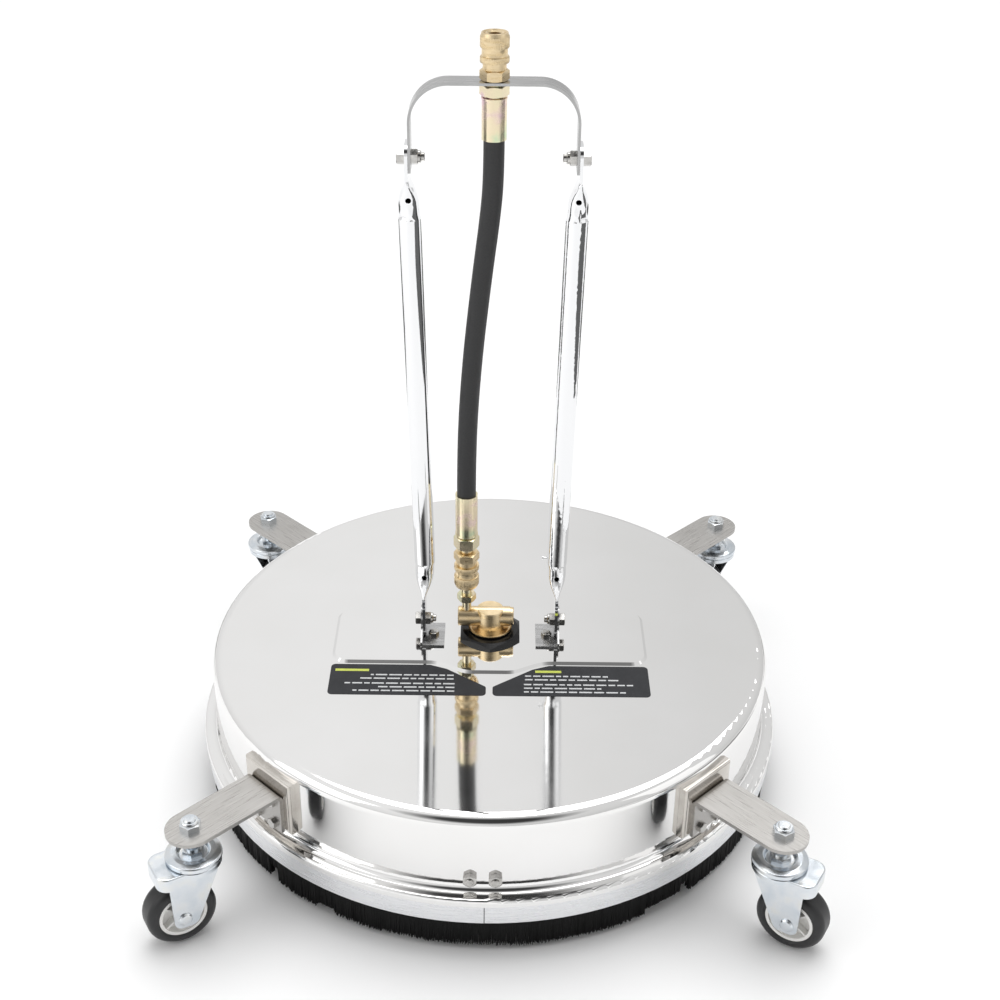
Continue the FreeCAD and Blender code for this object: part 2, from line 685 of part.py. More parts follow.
def spray_arm():
    """Stainless tube from the hub out to a hex boss over the nozzle."""
    tube = ring(SPRAY_TUBE, SPRAY_TUBE - 1.5, 11, ROTOR_REACH - 8)
    tube = aimed(tube, Vector(0, 0, ROTOR_HEIGHT), Vector(1, 0, 0))
    boss = hexagon(19, ROTOR_HEIGHT - 11, ROTOR_HEIGHT + 10, bevel_low=True)
    boss.translate(Vector(ROTOR_REACH, 0, 0))
    passage = cylinder(3, ROTOR_HEIGHT - 12, ROTOR_HEIGHT, ROTOR_REACH)
    cross = aimed(cylinder(SPRAY_TUBE - 1.5, ROTOR_REACH - 12, ROTOR_REACH),
                  Vector(0, 0, ROTOR_HEIGHT), Vector(1, 0, 0))
    return tube.fuse(boss).cut(passage).cut(cross).removeSplitter()


def spray_nozzle():
    """Fan nozzle screwed up into the boss, with a slotted tip."""
    low = ROTOR_HEIGHT - 31
    high = ROTOR_HEIGHT - 11
    nozzle = turned([(0.6, low), (4.5, low), (5.5, low + 4), (5.5, low + 8), (6.5, low + 8),
                     (6.5, high), (2.5, high), (2.5, low + 6), (0.6, low + 4)])
    slot = block(-6, 6, -0.5, 0.5, low - 1, low + 1.2)
    nozzle = nozzle.cut(slot)
    nozzle.translate(Vector(ROTOR_REACH, 0, 0))
    return nozzle


# ---- lower fittings and hose ---------------------------------------------------------------------

def set_at(shape, x):
    shape.translate(Vector(x, 0, 0))
    return shape


def plug_nipple():
    """Quick plug: thread in the swivel arm, hex, neck, and a nose inside the coupler."""
    thread_low = SWIVEL_AXIS_HEIGHT + 4
    plug = COUPLER_SOCKET - 0.1
    groove = plug - 0.85
    stem = turned([(COUPLER_BORE, thread_low), (5.15, thread_low), (5.15, 205.6), (plug, 205.6),
                   (plug, 226), (groove, 229), (groove, 233), (plug, 235), (plug, 240),
                   (COUPLER_BORE, 240)])
    grip = hexagon(18, 205.6, 214.1, bevel_low=True).cut(cylinder(COUPLER_BORE, 200, 220))
    return set_at(stem.fuse(grip).removeSplitter(), INLET_X)


def coupler_body():
    """Quick coupler body built mouth up from 0: hex, shoulder, spring seat and socket."""
    body = turned([(0, 0), (COUPLER_SHOULDER, 0), (COUPLER_SHOULDER, 17.3), (COUPLER_NOSE, 17.3),
                   (COUPLER_NOSE, 42.2), (COUPLER_NOSE - 0.6, 42.8), (0, 42.8)])
    body = body.fuse(hexagon(COUPLER_FLATS, 0, 10.2, bevel_low=True))
    body = body.cut(cylinder(COUPLER_SOCKET, 26, 45)).cut(cylinder(COUPLER_BORE, -1, 27))
    chamfer = turned([(0, 41.6), (COUPLER_SOCKET, 41.6), (COUPLER_SOCKET + 1.4, 43), (0, 43)])
    return body.cut(chamfer).removeSplitter()


def coupler_sleeve():
    """Sliding collar with two raised knurled bands, round the coupler body."""
    slide = COUPLER_SHOULDER + FIT
    nose = COUPLER_NOSE + FIT
    outline = [(slide, 16.3), (13.1, 16.3), (13.5, 16.7), (13.5, 21.5), (13.1, 21.9), (12, 21.9),
               (12, 29.8), (13.1, 29.8), (13.5, 30.2), (13.5, 39.9), (13.1, 40.3), (12.2, 43.1),
               (10.8, 43.1), (nose, 41.2), (nose, 30.4), (slide, 30.4)]
    return turned(outline)


def spring_section(step):
    """The corners of the wire's section at one step round the coil."""
    rise = SPRING_HIGH - SPRING_LOW - 2 * SPRING_WIRE
    turn = 2 * math.pi * step / SPRING_STEPS
    middle = SPRING_LOW + SPRING_WIRE + rise * step / (SPRING_TURNS * SPRING_STEPS)
    corners = []
    for index in range(SPRING_SIDES):
        angle = 2 * math.pi * index / SPRING_SIDES
        reach = SPRING_RADIUS + SPRING_WIRE * math.cos(angle)
        corners.append(Vector(reach * math.cos(turn), reach * math.sin(turn),
                              middle + SPRING_WIRE * math.sin(angle)))
    return corners


def triangle(first, second, third):
    return Part.Face(Part.makePolygon([first, second, third, first]))


def coupler_spring():
    """Coil spring that holds the sleeve over the locking groove, its wire in short flat facets."""
    sections = [spring_section(step) for step in range(SPRING_TURNS * SPRING_STEPS + 1)]
    faces = []
    for here, there in zip(sections, sections[1:]):
        for index in range(SPRING_SIDES):
            nearby = (index + 1) % SPRING_SIDES
            faces.append(triangle(here[index], there[index], there[nearby]))
            faces.append(triangle(here[index], there[nearby], here[nearby]))
    for end in (sections[0], sections[-1]):
        faces.append(Part.Face(Part.makePolygon(end + [end[0]])))
    coil = Part.makeSolid(Part.makeShell(faces))
    return coil if coil.Volume > 0 else coil.reversed()


def coupler_up(shape):
    copy = shape.copy()
    copy.translate(Vector(0, 0, COUPLER_UP_BASE))
    return copy


def coupler_down(shape):
    """A coupler piece turned over, so that its mouth takes the plug from below."""
    copy = shape.copy()
    copy.rotate(Vector(0, 0, 0), Vector(1, 0, 0), 180)
    copy.translate(Vector(INLET_X, 0, COUPLER_DOWN_BASE))
    return copy


def coupler_thread(x, low, high):
    return ring(COUPLER_THREAD, COUPLER_BORE, low, high, x)


def hose_nut(x, low, high, neck_low, neck_high):
    """Swivel nut of the hose end, with the round neck beside it."""
    nut = hexagon(COUPLER_FLATS, low, high, bevel_low=True)
    neck = cylinder(7.5, neck_low, neck_high)
    bore = cylinder(COUPLER_THREAD + FIT, neck_low - 20, neck_high + 20)
    return set_at(nut.fuse(neck).cut(bore), x)


def hose_ferrule(x, mouth, base):
    """Crimped sleeve on the hose end: eight soft flats, with a lip at its base."""
    low = min(mouth, base)
    high = max(mouth, base)
    crimp_corner = FERRULE_CRIMP / math.cos(math.radians(22.5))
    corners = []
    for index in range(8):
        angle = math.radians(45 * index + 22.5)
        corners.append((crimp_corner * math.cos(angle), crimp_corner * math.sin(angle), 1.0))
    shell = cylinder(FERRULE_RADIUS, low, high).common(prism(corners, low, high))
    lip_low = base - FERRULE_LIP if base > mouth else base
    shell = shell.fuse(cylinder(FERRULE_LIP_RADIUS, lip_low, lip_low + FERRULE_LIP))
    spigot = cylinder(HOSE_BORE, low - 1, high + 1)
    return set_at(shell.cut(spigot).removeSplitter(), x)


def route_path():
    """The hose's centre line: straight runs joined by tangent arcs."""
    points = [Vector(*point) for point in HOSE_ROUTE]
    edges = []
    last = points[0]
    for before, corner, after in zip(points, points[1:], points[2:]):
        incoming = before - corner
        outgoing = after - corner
        shorter = min(incoming.Length, outgoing.Length)
        turn = math.pi - incoming.getAngle(outgoing)
        reach = ARC_SHARE * shorter
        radius = reach / math.tan(turn / 2)
        incoming.normalize()
        outgoing.normalize()
        start = corner + incoming * reach
        end = corner + outgoing * reach
        bisector = incoming + outgoing
        depth = radius / math.cos(turn / 2) - radius
        middle = corner + bisector.normalize() * depth
        print("hose bend radius %.0f mm" % radius)
        edges.append(Part.LineSegment(last, start).toShape())
        edges.append(Part.Arc(start, middle, end).toShape())
        last = end
    edges.append(Part.LineSegment(last, points[-1]).toShape())
    return Part.Wire(edges)


def hose():
    path = route_path()
    start = Vector(*HOSE_ROUTE[0])
    outside = Part.Wire(Part.makeCircle(HOSE_RADIUS, start, Vector(0, 0, 1)))
    inside = Part.Wire(Part.makeCircle(HOSE_BORE, start, Vector(0, 0, 1)))
    tube = path.makePipeShell([outside], True, True).cut(path.makePipeShell([inside], True, True))
    expected = math.pi * (HOSE_RADIUS ** 2 - HOSE_BORE ** 2) * path.Length
    print("hose length %.1f mm, volume / expected %.4f" % (path.Length, tube.Volume / expected))
    return tube


# ---- handle frame --------------------------------------------------------------------------------

def squeezed_section(half_thick, x, height, inset=0.0):
    """A tube section flattened to half_thick along X, keeping its perimeter."""
    perimeter = 2 * math.pi * TUBE_RADIUS
    straight = max((perimeter - 2 * math.pi * half_thick) / 2, 0.0)
    thick = half_thick - inset
    points = []
    for index in range(SECTION_POINTS):
        share = (index + 0.5) / SECTION_POINTS
        angle = 2 * math.pi * share
        bulge = 2.0 / (2.0 + 4.0 * straight / perimeter)
        side = math.copysign(abs(math.cos(angle)) ** bulge, math.cos(angle))
        along = math.copysign(abs(math.sin(angle)) ** bulge, math.sin(angle))
        reach = thick + straight / 2
        points.append(Vector(x + thick * side, reach * along, height))
    curve = Part.BSplineCurve()
    curve.interpolate(Points=points, PeriodicFlag=True)
    return Part.Wire(curve.toShape())


def tube_solid(inset):
    """The whole tube, or with an inset its bore, from one flattened end to the other."""
    low = []
    high = []
    for step, half_thick in FLATTENING:
        share = step / FLATTENING[-1][0]
        if half_thick - inset < 0.5:
            continue
        low_x = PIVOT_X + (TUBE_LOW_X - PIVOT_X) * share
        high_x = HOOP_FLAT_X + (TUBE_HIGH_X - HOOP_FLAT_X) * share
        low.append(squeezed_section(half_thick, low_x, FLAT_LOW + step, inset))
        high.append(squeezed_section(half_thick, high_x, FLAT_HIGH - step, inset))
    high.reverse()
    lower = Part.makeLoft(low, True, False)
    upper = Part.makeLoft(high, True, False)
    middle = Part.makeLoft([low[-1], high[0]], True, True)
    return lower.fuse(middle).fuse(upper)


def flat_end(x, low, high, round_low):
    """A flattened end plate, with rounded corners at its free end."""
    half = squeezed_half_width()
    big = 9.0
    corners = [(-half, low, big if round_low else 0), (-half, high, 0 if round_low else big),
               (half, high, 0 if round_low else big), (half, low, big if round_low else 0)]
    face = Part.Face(rounded_wire(corners, lambda a, b: Vector(0, a, b)))
    face.translate(Vector(x - TUBE_FLAT / 2, 0, 0))
    return face.extrude(Vector(TUBE_FLAT, 0, 0))


def squeezed_half_width():
    half_thick = TUBE_FLAT / 2
    return half_thick + math.pi * (TUBE_RADIUS - half_thick) / 2


def handle_tube():
    """Right tube: round, leaning outward, with both ends flattened and drilled."""
    tube = tube_solid(0.0).fuse(flat_end(PIVOT_X, TUBE_BOTTOM, FLAT_LOW + 0.5, True))
    tube = tube.fuse(flat_end(HOOP_FLAT_X, FLAT_HIGH - 0.5, TUBE_TOP, False))
    tube = tube.cut(tube_solid(TUBE_WALL))
    for x, height in ((PIVOT_X, PIVOT_HEIGHT), (HOOP_FLAT_X, HOOP_BOLT_HEIGHT)):
        hole = cylinder(M8 + FIT, -10, 10)
        tube = tube.cut(aimed(hole, Vector(x, 0, height), Vector(1, 0, 0)))
    for x, height in DRAIN_HOLES:
        tube = tube.cut(aimed(cylinder(DRAIN_RADIUS, 0, 30), Vector(x, 0, height), Vector(0, -1, 0)))
    return tube


def keeper_pin():
    """Small headed stud on the inner side of the right tube."""
    pin = turned([(0, 0), (1.0, 0), (1.0, 4.2), (1.9, 4.2), (1.9, 5.6), (0, 5.6)])
    return aimed(pin, Vector(61.2, 0, 260), Vector(-1, 0, 0))


def hoop_strap():
    """Inverted U of flat strip, with a hole in its top for the hose coupler."""
    outer = HOOP_FLAT_X - TUBE_FLAT / 2
    inner = outer - STRAP
    inner_corner = HOOP_CORNER - STRAP
    outline = [(-outer, HOOP_LOW, 0), (-outer, HOOP_TOP, HOOP_CORNER), (outer, HOOP_TOP, HOOP_CORNER),
               (outer, HOOP_LOW, 0), (inner, HOOP_LOW, 0), (inner, HOOP_TOP - STRAP, inner_corner),
               (-inner, HOOP_TOP - STRAP, inner_corner), (-inner, HOOP_LOW, 0)]
    face = Part.Face(rounded_wire(outline, upright))
    face.translate(Vector(0, -STRAP_WIDTH / 2, 0))
    strap = face.extrude(Vector(0, STRAP_WIDTH, 0))
    strap = strap.cut(cylinder(6.6, 765, 780))
    for side in (-1, 1):
        hole = aimed(cylinder(M8 + 0.1, 60, 90), Vector(0, 0, HOOP_BOLT_HEIGHT), Vector(side, 0, 0))
        strap = strap.cut(hole)
    return strap


def foot_bracket():
    """Right foot: an L of sheet bolted to the pad, with an ear outside the tube's lower end."""
    ear_low = PIVOT_X + TUBE_FLAT / 2 + 0.1
    ear_high = ear_low + BRACKET_SHEET
    outline = [(BRACKET_INNER, PAD_TOP, 0), (ear_high, PAD_TOP, 2.5), (ear_high, 195, 0),
               (ear_low, 195, 0), (ear_low, PAD_TOP + BRACKET_SHEET, 0.5),
               (BRACKET_INNER, PAD_TOP + BRACKET_SHEET, 0)]
    face = Part.Face(rounded_wire(outline, upright))
    face.translate(Vector(0, -30, 0))
    bracket = face.extrude(Vector(0, 43, 0))
    ear = Part.Face(rounded_wire([(-30.5, PAD_TOP - 1, 0), (-30.5, PAD_TOP + 5, 0),
                                  (-12, PAD_TOP + 14, 6), (-12, 195, 11), (12, 195, 11),
                                  (12, PAD_TOP + 14, 6), (13.5, PAD_TOP + 4, 0),
                                  (13.5, PAD_TOP - 1, 0)], lambda a, b: Vector(0, a, b)))
    keep = ear.extrude(Vector(100, 0, 0))
    bracket = bracket.common(keep)
    bracket = bracket.cut(aimed(cylinder(M8 + FIT, 60, 90), Vector(0, 0, PIVOT_HEIGHT),
                                Vector(1, 0, 0)))
    return bracket.cut(cylinder(M6 + 0.2, 150, 175, *BRACKET_BOLTS[0]))


# ---- fasteners -----------------------------------------------------------------------------------

def m6_fasteners():
    """Arm bolts with their nuts inside the deck, and the two bracket bolts."""
    bolts = []
    nuts = []
    head = 4.0
    nut_height = 5.0
    seat_depth = ARM_PAD_FACE + ARM_THICK - INNER_WALL_SEAT
    bolt = hex_bolt(M6_FLATS, head, M6, seat_depth + nut_height + 1.5)
    nut = hex_nut(M6_FLATS, nut_height, M6 + 0.05)
    inward = Vector(-1, 0, 0)
    for angle in ARM_ANGLES:
        for point in arm_bolt_points():
            bolts.append(around(aimed(bolt, point, inward), angle))
            seat = point + inward * seat_depth
            nuts.append(around(aimed(nut, seat, inward), angle))
    down = Vector(0, 0, -1)
    stack = BRACKET_SHEET + SHEET
    short_bolt = hex_bolt(M6_FLATS, head, M6, stack + nut_height + 1.5)
    for x, y in BRACKET_BOLTS:
        bolts.append(aimed(short_bolt, Vector(x, y, PAD_TOP + BRACKET_SHEET), down))
        nuts.append(aimed(nut, Vector(x, y, PAD_TOP - SHEET), down))
    return bolts, nuts


def m8_fasteners():
    """Pivot bolts of the handle and the two bolts of the brush joint, with their nuts."""
    head = 6.4
    ear_out = PIVOT_X + TUBE_FLAT / 2 + 0.1 + BRACKET_SHEET
    nut_seat = PIVOT_X - TUBE_FLAT / 2 - 0.1
    bolts = []
    nuts = []
    pivot_bolt = hex_bolt(M8_FLATS, head, M8, ear_out - nut_seat + 11)
    pivot_nut = lock_nut(M8_FLATS, 8.0, 2.6, M8 + 0.02)
    for side in (-1, 1):
        inward = Vector(-side, 0, 0)
        bolts.append(aimed(pivot_bolt, Vector(side * ear_out, 0, PIVOT_HEIGHT), inward))
        nuts.append(aimed(pivot_nut, Vector(side * nut_seat, 0, PIVOT_HEIGHT), inward))
    plate_face = DECK_RADIUS - SHEET - 0.1 - 3.0 - 0.15
    wall_seat = DECK_RADIUS + 0.1
    outward = Vector(1, 0, 0)
    joint_bolt = hex_bolt(M8_FLATS, 5.3, M8, wall_seat - plate_face + 6.6)
    joint_nut = hex_nut(M8_FLATS, 5.2, M8 + 0.05)
    for angle in BRUSH_BOLT_ANGLES:
        seat = Vector(plate_face, 0, BRUSH_BOLT_HEIGHT)
        bolts.append(around(aimed(joint_bolt, seat, outward), angle))
        nut_place = Vector(wall_seat, 0, BRUSH_BOLT_HEIGHT)
        nuts.append(around(aimed(joint_nut, nut_place, outward), angle))
    return bolts, nuts


def hoop_fasteners():
    """The two bolts through the tubes' upper ends and the hoop's legs, with lock nuts."""
    outer = HOOP_FLAT_X + TUBE_FLAT / 2
    inner = HOOP_FLAT_X - TUBE_FLAT / 2 - STRAP
    bolt = hex_bolt(M8_FLATS, 8.0, M8, outer - inner + 13)
    nut = lock_nut(M8_FLATS, 9.7, 3.0, M8 + 0.02)
    bolts = []
    nuts = []
    for side in (-1, 1):
        inward = Vector(-side, 0, 0)
        bolts.append(aimed(bolt, Vector(side * outer, 0, HOOP_BOLT_HEIGHT), inward))
        nuts.append(aimed(nut, Vector(side * inner, 0, HOOP_BOLT_HEIGHT), inward))
    return bolts, nuts


# ---- assembly ------------------------------------------------------------------------------------

def build_deck():
    save("deck_shell", deck_shell())
    save("brush_channel", brush_channel())
    save("brush_bristles", brush_bristles())
    save("brush_joint_plate", brush_joint_plate())
    save("deck_labels", *deck_labels())
    save("arm_pads", *[around(arm_pad(), angle) for angle in ARM_ANGLES])
    save("caster_arms", *[around(caster_arm(), angle) for angle in ARM_ANGLES])
    bolts, nuts = m6_fasteners()
    save("m6_bolts", *bolts)
    save("m6_nuts", *nuts)
    bolts, nuts = m8_fasteners()
    save("m8_bolts", *bolts)
    save("m8_nuts", *nuts)


def build_casters():
    stems = []
    races = []
    balls = []
    stem_nuts = []
    washers = []
    arm_under = ARM_TOP - ARM_THICK
    nut = lock_nut(M12_FLATS, 10.0, 2.8, STEM_SHAFT + 0.05)
    nut.translate(Vector(0, 0, ARM_TOP))
    washer = ring(12, STEM_SHAFT + 0.1, arm_under - 2.5, arm_under)
    for name, side, end in CASTERS:
        place = caster_place(side, end)
        save("caster_fork_" + name, placed_shape(caster_fork(), place))
        save("caster_axle_" + name, placed_shape(caster_axle(), place))
        save("wheel_hub_" + name, placed_shape(wheel_hub(), place))
        save("wheel_tyre_" + name, placed_shape(wheel_tyre(), place))
        stems.append(placed_shape(caster_stem(), place))
        races.append(placed_shape(caster_top_race(), place))
        stem_nuts.append(placed_shape(nut, place))
        washers.append(placed_shape(washer, place))
        balls += [placed_shape(ball, place) for ball in caster_balls()]
    save("caster_stems", *stems)
    save("caster_top_races", *races)
    save("caster_balls", *balls)
    save("stem_nuts", *stem_nuts)
    save("stem_washers", *washers)


def placed_shape(shape, place):
    """A copy of a shape moved by a placement, whatever its own placement was."""
    copy = shape.copy()
    copy.Placement = place.multiply(shape.Placement)
    return copy


def build_swivel():
    save("swivel_housing", swivel_housing())
    save("swivel_body", swivel_body())
    save("swivel_end_plug", swivel_end_plug())
    save("swivel_clamp_nut", swivel_clamp_nut())
    save("swivel_bearings", *swivel_bearings())
    save("swivel_seal", swivel_seal())
    save("rotor_shaft", rotor_shaft())
    save("rotor_hub", rotor_hub())
    save("spray_arms", spray_arm(), around(spray_arm(), 180))
    save("spray_nozzles", spray_nozzle(), around(spray_nozzle(), 180))


def build_hose():
    save("plug_nipple", plug_nipple())
    lower_body = coupler_down(coupler_body())
    lower_thread = coupler_thread(INLET_X, COUPLER_DOWN_BASE - 1, 284)
    save("coupler_body_lower", lower_body.fuse(lower_thread))
    save("coupler_sleeve_lower", coupler_down(coupler_sleeve()))
    save("coupler_spring_lower", coupler_down(coupler_spring()))
    save("hose_nut_lower", hose_nut(INLET_X, 274.0, 288.0, 269.0, FERRULE_LOW_BASE))
    save("hose_ferrule_lower", hose_ferrule(INLET_X, HOSE_LOW, FERRULE_LOW_BASE))
    save("hose", hose())
    save("hose_ferrule_upper", hose_ferrule(0.0, HOSE_HIGH, FERRULE_HIGH_BASE))
    save("hose_nut_upper", hose_nut(0.0, 761.5, 772.0, FERRULE_HIGH_BASE, HOOP_TOP - STRAP))
    upper_thread = coupler_thread(0.0, 763, COUPLER_UP_BASE + 1)
    save("coupler_body_upper", coupler_up(coupler_body()).fuse(upper_thread))
    save("coupler_sleeve_upper", coupler_up(coupler_sleeve()))
    save("coupler_spring_upper", coupler_up(coupler_spring()))


def build_handle():
    right = handle_tube()
    save("tube_left", mirrored(right))
    save("tube_right", right.fuse(keeper_pin()))
    save("hoop_strap", hoop_strap())
    bolts, nuts = hoop_fasteners()
    save("hoop_bolts", *bolts)
    save("hoop_nuts", *nuts)
    bracket = foot_bracket()
    save("foot_brackets", bracket, mirrored(bracket))


os.makedirs("parts", exist_ok=True)
build_deck()
build_casters()
build_swivel()
build_hose()
build_handle()
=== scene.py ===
import json
import math
import random

import bmesh
import bpy
from mathutils import Matrix, Vector


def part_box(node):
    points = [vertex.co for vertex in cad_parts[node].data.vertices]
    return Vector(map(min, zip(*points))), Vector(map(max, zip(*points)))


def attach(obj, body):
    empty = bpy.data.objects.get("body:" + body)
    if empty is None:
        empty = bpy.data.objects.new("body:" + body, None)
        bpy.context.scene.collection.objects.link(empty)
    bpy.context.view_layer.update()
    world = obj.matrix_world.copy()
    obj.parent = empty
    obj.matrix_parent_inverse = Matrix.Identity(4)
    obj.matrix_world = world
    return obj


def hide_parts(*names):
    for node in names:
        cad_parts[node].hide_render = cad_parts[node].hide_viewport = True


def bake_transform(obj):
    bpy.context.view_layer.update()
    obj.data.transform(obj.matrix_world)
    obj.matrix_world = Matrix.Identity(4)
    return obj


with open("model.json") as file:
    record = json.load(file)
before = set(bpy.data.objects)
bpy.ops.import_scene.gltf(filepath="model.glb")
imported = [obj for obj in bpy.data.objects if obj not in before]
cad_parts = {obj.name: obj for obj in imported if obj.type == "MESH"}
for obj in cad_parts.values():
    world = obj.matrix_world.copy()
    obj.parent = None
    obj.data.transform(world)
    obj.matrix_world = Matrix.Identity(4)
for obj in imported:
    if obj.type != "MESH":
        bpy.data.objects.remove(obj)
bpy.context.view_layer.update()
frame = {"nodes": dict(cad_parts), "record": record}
NODES = frame["nodes"]
RECORD = frame["record"]

# Lengths are in metres, and angles in radians, except where a comment says otherwise.

# ---- camera ----
CAMERA_PLACE = Vector((0.0071, -1.4251, 1.1678))
CAMERA_TILT = 1.04026        # up from straight down
CAMERA_YAW = -0.00156
CAMERA_ROLL = 0.01142
CAMERA_LENS = 56.37          # millimetres
CAMERA_SENSOR = 36.0         # millimetres

# ---- hose ----
HOSE_ROUTE = (
    (-0.0260, 0, 0.3387), (-0.0260, 0, 0.3980), (-0.0206, 0, 0.4900), (-0.0109, 0, 0.5820),
    (-0.0022, 0, 0.6520), (0, 0, 0.6880), (0, 0, 0.7209),
)
HOSE_RADIUS = 0.010
HOSE_SIDES = 40
HOSE_SPLINE_ORDER = 3
HOSE_SPLINE_STEPS = 24

# ---- brush ----
BRISTLE_OUTER = 0.3138
BRISTLE_INNER = 0.3092
BRISTLE_ROOT = 0.0405        # the channel's lower edge
BRISTLE_GRIPPED = 0.004      # length inside the channel
BRISTLE_TIP = 0.0058
BRISTLE_COUNT = 2300         # bundles in a row
BRISTLE_SEED = 11
BUNDLE_ROOT = 0.62           # half width of a bundle, as a share of the step between bundles
BUNDLE_TIP = 0.30
BUNDLE_HALF_DEPTH = 0.0007
BUNDLE_LEAN = 0.35           # most sideways lean of a tip, as a share of the step
BUNDLE_SHIFT = (-0.00035, 0.00015)
BUNDLE_FLARE = (-0.0006, 0.0004)
BRUSH_SPLIT = math.radians(-90.36)
TIP_RISE = 0.0008
TIP_SCATTER = (-0.0013, 0.0030)
TIP_WAVES = ((0.0007, 7, 1.3), (0.0006, 23, 0.0))    # (height, waves round the brush, phase)
SHORT_SCATTER = (0, 0.0012)
SHORT_PLACES = (             # (first angle, last angle, tip height), angles in degrees
    (-135.6, -133.4, 0.0230),
    (-123.2, -119.4, 0.0120),
    (-59.5, -51.0, 0.0130),
    (-51.0, -48.6, 0.0210),
)

# ---- coupler collars ----
SLEEVE_OUTLINE = (           # (radius, height from the hex's far side, knurled) in mm
    (11.05, 16.3, 0), (13.1, 16.3, 0), (13.5, 16.9, 1), (13.5, 21.3, 1), (13.1, 21.9, 0),
    (12.1, 22.2, 0), (12.0, 22.6, 0), (12.0, 29.1, 0), (12.1, 29.5, 0), (13.1, 29.8, 0),
    (13.5, 30.5, 1), (13.5, 39.6, 1), (13.1, 40.3, 0), (12.2, 43.1, 0), (10.8, 43.1, 0),
    (9.05, 41.2, 0), (9.05, 30.4, 0), (11.05, 30.4, 0),
)
SLEEVE_MOUTH = 0.0431        # the outline's greatest height
KNURLS = 54
KNURL_DEPTH = 0.32           # millimetres
SLICES_PER_KNURL = 4
GROOVE_SLICES = (2, 3)

# ---- stickers ----
LABEL_LINES = (              # (distance below the title, start, end) as shares of the sticker
    (0.30, 0.06, 0.72), (0.42, 0.06, 0.80), (0.58, 0.05, 0.92), (0.70, 0.05, 0.66),
    (0.82, 0.05, 0.85),
)
LABEL_TOP = 0.95             # where the lines are measured from, as a share of the depth
LABEL_SEED = 4
LABEL_INNER = 0.030          # from the deck's middle to the lines
LABEL_MARGIN = 0.006         # from the lines to the sticker's outer end
LINE_HALF = 0.0011           # half the height of a line's bars
WORD_LENGTHS = (0.005, 0.014)
WORD_GAP = 0.0022
TITLE_PLACE = 0.80           # as a share of the sticker's depth
TITLE_HALF = 0.0020          # half the height of a title's bar
TITLE_LEFT = (-0.147, 0.018)     # (middle, half length)
TITLE_RIGHT = (0.063, 0.014)
BAR_THICK = 0.00008
BAR_SUNK = 0.00002

# ---- studio ----
FLOOR_HALF = 6.0
FLOOR_LEVEL = -0.0004
CARD_LEVEL = 0.001
CARDS = (                    # dark cards on the floor, seen only in polished metal
    ((0.55, 0.70), (1.10, 0.50), (1.50, 1.40), (0.75, 1.50)),
    ((-0.55, 0.70), (-0.75, 1.50), (-1.50, 1.40), (-1.10, 0.50)),
    ((0.95, -1.2), (2.6, -1.2), (2.6, 0.3), (0.95, 0.3)),
)
OVERHEAD_STRENGTH = 1.35
OVERHEAD_WIDTH = math.radians(50)
OVERHEAD_AIM = Vector((-0.1, -0.35, -1.0))
SIDE_TARGET = (0, 0, 0.2)
SIDE_LIGHTS = (              # (name, place, size, watts)
    ("left_soft", (-2.2, -1.0, 1.4), (1.6, 1.8), 8),
    ("right_soft", (2.3, -0.7, 1.3), (1.4, 1.8), 3),
)
ROOM_HEIGHTS = (0.0, 0.6)            # how far up the room's light grows
ROOM_HEIGHT_LEVELS = (0.86, 1.0)
ROOM_SIDES = (-0.06, 0.12)           # how far right the room's light falls
ROOM_SIDE_LEVELS = (0.91, 0.75)
DARK_PATCH = (0.0, -0.707, 0.707)    # direction of the dark patch's middle
PATCH_EDGE = (math.cos(math.radians(31)), math.cos(math.radians(15)))
PATCH_LEVEL = 0.06
BACKDROP_LEVEL = 0.95

# ---- materials ----
NOISE_SPAN = (0.3, 0.7)      # where nearly all of a noise texture's values lie
GRAIN_TURN = 45              # degrees from the X axis, in the first quarter of the plan
GRAIN_SCALE = 1040.0
GRAIN_STRETCH = (0.03, 1.0, 1.0)
GRAIN_RELIEF = 0.25
GRAIN_DEPTH = 0.00012


# ---- shader helpers ----

def node_material(name, colour, metallic, roughness):
    """A principled material, with its node tree and shader."""
    mat = bpy.data.materials.new(name)
    mat.use_nodes = True
    tree = mat.node_tree
    shader = tree.nodes["Principled BSDF"]
    shader.inputs["Base Color"].default_value = (*colour, 1)
    shader.inputs["Metallic"].default_value = metallic
    shader.inputs["Roughness"].default_value = roughness
    mat.diffuse_color = (*colour, 1)
    return mat, tree, shader


def remapped(tree, value, source, target):
    """A value remapped from one (low, high) range to another, and clamped to it."""
    remap = tree.nodes.new("ShaderNodeMapRange")
    remap.inputs["From Min"].default_value, remap.inputs["From Max"].default_value = source
    remap.inputs["To Min"].default_value, remap.inputs["To Max"].default_value = target
    tree.links.new(value, remap.inputs["Value"])
    return remap.outputs["Result"]


def product(tree, first, second):
    node = tree.nodes.new("ShaderNodeMath")
    node.operation = "MULTIPLY"
    tree.links.new(first, node.inputs[0])
    tree.links.new(second, node.inputs[1])
    return node.outputs[0]


def mapped(tree, vector, **settings):
    """A vector through a mapping node with these inputs set."""
    mapping = tree.nodes.new("ShaderNodeMapping")
    for socket, amount in settings.items():
        mapping.inputs[socket].default_value = amount
    tree.links.new(vector, mapping.inputs["Vector"])
    return mapping.outputs["Vector"]


def noise(tree, vector, scale, detail):
    texture = tree.nodes.new("ShaderNodeTexNoise")
    texture.inputs["Scale"].default_value = scale
    texture.inputs["Detail"].default_value = detail
    tree.links.new(vector, texture.inputs["Vector"])
    return texture.outputs["Fac"]


